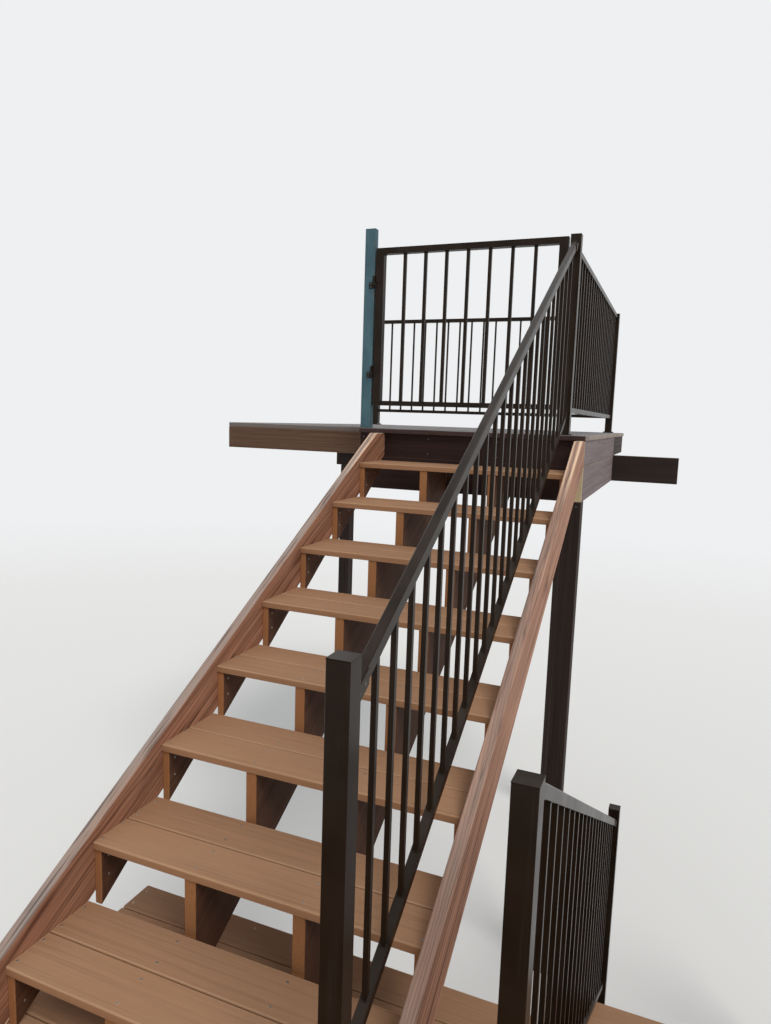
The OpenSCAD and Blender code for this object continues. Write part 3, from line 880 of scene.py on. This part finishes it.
landing_lines = centres("landing_joists") + centres("landing_side_rims")
deck_lines = centres("deck_joists") + centres("deck_side_rims")
SCREWS = {
    "upper_tread_screws": board_screws("upper_treads", tread_lines("upper")),
    "lower_tread_screws": board_screws("lower_treads", tread_lines("lower")),
    "upper_block_screws": block_screws("upper"),
    "lower_block_screws": block_screws("lower"),
    "landing_screws": board_screws("landing_boards", landing_lines)
    + board_screws("landing_boards_under_flight", landing_lines),
    "deck_screws": board_screws("deck_boards", deck_lines)
    + board_screws("deck_nosing_board", deck_lines),
}
NAILS = {
    "landing_nails": frame_nails("landing"),
    "deck_nails": frame_nails("deck"),
    "trim_nails": trim_nails("deck_front_trim", 1, -1) + trim_nails("deck_side_trim", 0, 1),
}
for name, places in SCREWS.items():
    make(repeated(screw_head(), places), name, SCREW_STEEL)
for name, places in NAILS.items():
    make(repeated(nail_head(), places), name, NAIL_STEEL)
left_rim = min(boxes("landing_side_rims"), key=lambda box: box[0].x)
bolt_places = plank_bolts(boxes("deck_ledger")[0], 1, 1) + plank_bolts(left_rim, 0, 1)
make(repeated(bolt_head(), bolt_places), "mounting_bolts", BOLT_STEEL)


def folded_out(bm, edges, reach):
    """Draws edges out into strips of sheet."""
    grown = bmesh.ops.extrude_edge_only(bm, edges=edges)
    far = [part for part in grown["geom"] if isinstance(part, bmesh.types.BMVert)]
    bmesh.ops.translate(bm, verts=far, vec=reach)


def hanger(width):
    """A folded steel strap that carries a joist's end, its flanges on the plane y = 0."""
    bm = bmesh.new()
    half = width / 2 + HANGER_THICKNESS / 2
    outline = ((-half, HANGER_HEIGHT), (-half, 0), (half, 0), (half, HANGER_HEIGHT))
    points = [bm.verts.new((x, 0, z)) for x, z in outline]
    folds = [bm.edges.new((points[i], points[i + 1])) for i in range(3)]
    folded_out(bm, folds, (0, HANGER_LENGTH, 0))
    folded_out(bm, [folds[0]], (-HANGER_FLANGE, 0, 0))
    folded_out(bm, [folds[2]], (HANGER_FLANGE, 0, 0))
    bmesh.ops.recalc_face_normals(bm, faces=bm.faces)
    bmesh.ops.solidify(bm, geom=list(bm.faces), thickness=HANGER_THICKNESS)
    bmesh.ops.recalc_face_normals(bm, faces=bm.faces)
    return bm


def hanger_nails(low, high):
    """Nails through both flanges and both cheeks of the hanger at a joist's front end."""
    flange_y = low.y + HANGER_THICKNESS * 2
    cheek_y = low.y + HANGER_LENGTH * HANGER_NAIL_REACH
    places = []
    for edge_x, side in ((low.x, -1), (high.x, 1)):
        flange_x = edge_x + side * HANGER_FLANGE * HANGER_NAIL_REACH
        cheek_x = edge_x + side * HANGER_THICKNESS
        for share in HANGER_NAIL_LEVELS:
            z = low.z + HANGER_HEIGHT * share
            places.append(spot((flange_x, flange_y, z), (0, 1, 0)))
            places.append(spot((cheek_x, cheek_y, z), (side, 0, 0)))
    return places


ledger_back = boxes("deck_ledger")[0][1].y
hung_joists = [box for box in boxes("deck_joists") if abs(box[0].y - ledger_back) < CLOSE]
joist_width = hung_joists[0][1].x - hung_joists[0][0].x
hanger_places = [
    Matrix.Translation(((low.x + high.x) / 2, low.y + HANGER_THICKNESS, low.z))
    for low, high in hung_joists
]
hanger_nail_places = [place for box in hung_joists for place in hanger_nails(*box)]
make(repeated(hanger(joist_width), hanger_places), "joist_hangers", HANGER_STEEL)
make(repeated(nail_head(), hanger_nail_places), "hanger_nails", NAIL_STEEL)


def bead():
    """A stretch of weld, one unit long and one in radius."""
    bm = bmesh.new()
    bmesh.ops.create_cone(
        bm, cap_ends=True, segments=BEAD_SIDES, radius1=1.0, radius2=1.0, depth=1.0
    )
    bmesh.ops.translate(bm, verts=bm.verts, vec=(0, 0, 0.5))
    return bm


def bead_place(start, end, radius):
    """Stretches a bead from one point to another."""
    reach = end - start
    size = Matrix.Diagonal((radius, radius, reach.length, 1.0))
    return spot(start, reach) @ size


def weld(lines, radius, name, body="structure"):
    """Lays a bead along each line, given as its two ends."""
    places = [bead_place(start, end, radius) for start, end in lines]
    make(repeated(bead(), places), name, FINISHES["railing_steel"], body)


def inner_corners(node, lengths):
    """The ends of each edge in whose inner corner a weld lies."""
    shortest, longest = lengths
    bm = merged(node)
    lines = []
    for edge in bm.edges:
        hollow = len(edge.link_faces) == 2 and edge.calc_face_angle_signed(0.0) < HOLLOW
        if hollow and shortest < edge.calc_length() < longest:
            lines.append([vertex.co.copy() for vertex in edge.verts])
    bm.free()
    return lines


def end_rims(node, axis):
    """The edges round a railing's end faces, which lie on its posts."""
    bm = merged(node)
    low, high = corners(bm.verts)
    lines = []
    for face in bm.faces:
        middle = face.calc_center_median()
        at_end = min(middle[axis] - low[axis], high[axis] - middle[axis]) < TOUCH
        if at_end and is_square(face, axis):
            lines += [[vertex.co.copy() for vertex in edge.verts] for edge in face.edges]
    bm.free()
    return [line for line in lines if (line[1] - line[0]).length > TOUCH]


for node, axis in RAILING_RUNS.items():
    weld(inner_corners(node, PICKET_WELDS) + end_rims(node, axis), BEAD_RADIUS, node + "_welds")
foot_lines = [line for node in STEEL_POSTS for line in inner_corners(node, FOOT_WELDS)]
weld(foot_lines, FOOT_BEAD_RADIUS, "post_foot_welds")
hinge_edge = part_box("gate_hinge_halves")[1][0]
gate_lines = [
    line for line in inner_corners("gate_leaf", GATE_WELDS)
    if min(line[0].x, line[1].x) > hinge_edge + HINGE_MARGIN
]
weld(gate_lines, BEAD_RADIUS, "gate_welds", "gate")


def plate_bolts(node):
    """A bolt near each corner of every post's base plate."""
    bm = merged(node)
    places = []
    for solid in solids(bm):
        levels = sorted({round(vertex.co.z, 4) for vertex in solid})
        foot = [vertex.co.copy() for vertex in solid if vertex.co.z < levels[0] + CLOSE]
        middle = sum(foot, Vector()) / len(foot)
        for corner in foot:
            place = middle + (corner - middle) * PLATE_BOLT_SPREAD
            places.append(spot((place.x, place.y, levels[1])))
    bm.free()
    return places


def cap_plates(nodes):
    """Thin plates that close the tops of the steel posts."""
    caps = bmesh.new()
    for node in nodes:
        bm = merged(node)
        for solid in solids(bm):
            top = max(vertex.co.z for vertex in solid)
            rim = [vertex.co.copy() for vertex in solid if vertex.co.z > top - CLOSE]
            middle = sum(rim, Vector()) / len(rim)
            rim.sort(key=lambda co: math.atan2(co.y - middle.y, co.x - middle.x))
            points = [caps.verts.new(middle + (co - middle) * CAP_OVERHANG) for co in rim]
            raised(caps, [caps.faces.new(points)], CAP_THICKNESS)
        bm.free()
    bmesh.ops.recalc_face_normals(caps, faces=caps.faces)
    ease(caps, PLATE_EASE, 2)
    return caps


plate_places = [place for node in STEEL_POSTS for place in plate_bolts(node)]
make(repeated(bolt_head(PLATE_BOLT_SCALE), plate_places), "base_plate_bolts", BOLT_STEEL)
make(cap_plates(STEEL_POSTS), "post_caps", FINISHES["railing_steel"])


def socket_screws(node):
    """Two screws on each side of the sockets that hold a sloping railing's rails."""
    bm = merged(node)
    sides = [face for face in bm.faces if is_square(face, 0)]
    widest = max(face.calc_area() for face in sides)
    low, high = corners(bm.verts)
    places = []
    for face in sides:
        middle = face.calc_center_median()
        near_end = min(middle.y - low.y, high.y - middle.y) < SOCKET_REACH
        if near_end and SOCKET_AREA < face.calc_area() < widest:
            slope = max(face.edges, key=lambda edge: edge.calc_length())
            along = (slope.verts[1].co - slope.verts[0].co).normalized()
            for reach in (-SOCKET_SCREW_REACH, SOCKET_SCREW_REACH):
                places.append(spot(middle + along * reach, face.normal))
    bm.free()
    return places


def hinge_screws():
    """Two screws in each hinge leaf on the post."""
    bm = merged("gate_hinge_halves")
    places = []
    for solid in solids(bm):
        faces = {face for vertex in solid for face in vertex.link_faces}
        fronts = [face for face in faces if face.normal.y < -SQUARE]
        leaf = max(fronts, key=lambda face: face.calc_area())
        low, high = corners(leaf.verts)
        x = low.x + (high.x - low.x) * HINGE_SCREW_SIDE
        for share in HINGE_SCREW_LEVELS:
            places.append(spot((x, low.y, low.z + (high.z - low.z) * share), (0, -1, 0)))
    bm.free()
    return places


socket_places = [place for node in SLOPING_RAILINGS for place in socket_screws(node)]
make(repeated(screw_head(), socket_places), "socket_screws", NAIL_STEEL)
make(repeated(screw_head(), hinge_screws()), "hinge_screws", NAIL_STEEL)


def floor_material():
    """Pale ground that takes shadows near the part and fades into the backdrop."""
    ground = Shader(bpy.data.materials.new("studio_floor"))
    distance = ground.vector("LENGTH", ground.add("TexCoord", output="Object")).out("Value")
    seen = ground.add("LightPath", output="Is Camera Ray")
    fade = distance.fade(FLOOR_FADE_NEAR, FLOOR_FADE_FAR) * seen
    matt = ground.add("BsdfDiffuse", {}, {"Color": FLOOR_COLOUR})
    glow = ground.add("Emission", {}, {"Color": BACKDROP, "Strength": 1.0})
    return ground.finish(ground.add("MixShader", {}, {0: fade, 1: matt, 2: glow}))


def add_floor():
    """A wide round floor, level with the part's feet."""
    bm = bmesh.new()
    disc(bm, FLOOR_SIDES, FLOOR_RADIUS)
    placed(bm, "floor", floor_material())


def add_light():
    """Soft light all round, and a broad sun from the right, where the photograph has it."""
    sky = Shader(bpy.data.worlds.new("studio"))
    direct = sky.add("LightPath", output="Is Camera Ray")
    shown = direct.most(direct.out("Is Glossy Ray"))
    soft = sky.add("Background", {}, {"Color": SKY_COLOUR, "Strength": SKY_LEVEL})
    plain = sky.add("Background", {}, {"Color": BACKDROP, "Strength": 1.0})
    choice = sky.add("MixShader", {}, {0: shown, 1: soft, 2: plain})
    bpy.context.scene.world = sky.finish(choice, "OutputWorld")
    lamp = bpy.data.lights.new("soft_sun", "SUN")
    lamp.energy = SUN_LEVEL
    lamp.angle = SUN_SOFTNESS
    lamp.color = SUN_COLOUR
    sun = bpy.data.objects.new("soft_sun", lamp)
    sun.rotation_mode = "QUATERNION"
    sun.rotation_quaternion = SUN_FROM.to_track_quat("Z", "Y")
    bpy.context.scene.collection.objects.link(sun)


def add_camera():
    """Stands where the photograph was taken and looks along its line of sight."""
    forward = Vector((
        -math.sin(YAW) * math.cos(PITCH), math.cos(YAW) * math.cos(PITCH), math.sin(PITCH)
    ))
    level = Vector((math.cos(YAW), math.sin(YAW), 0.0))
    above = level.cross(forward)
    right = math.cos(ROLL) * level + math.sin(ROLL) * above
    up = -math.sin(ROLL) * level + math.cos(ROLL) * above
    camera = bpy.data.objects.new("camera", bpy.data.cameras.new("camera"))
    camera.data.sensor_fit = "AUTO"
    camera.data.sensor_width = SENSOR
    camera.data.lens = FOCAL_PIXELS / PHOTO_LONG_SIDE * SENSOR
    camera.data.clip_start = NEAREST_SEEN
    camera.data.clip_end = FARTHEST_SEEN
    turn = Matrix([right, up, -forward]).transposed().to_4x4()
    camera.matrix_world = Matrix.Translation(EYE) @ turn
    bpy.context.scene.collection.objects.link(camera)
    bpy.context.scene.camera = camera


add_floor()
add_light()
add_camera()
bpy.context.scene.view_settings.view_transform = "Standard"
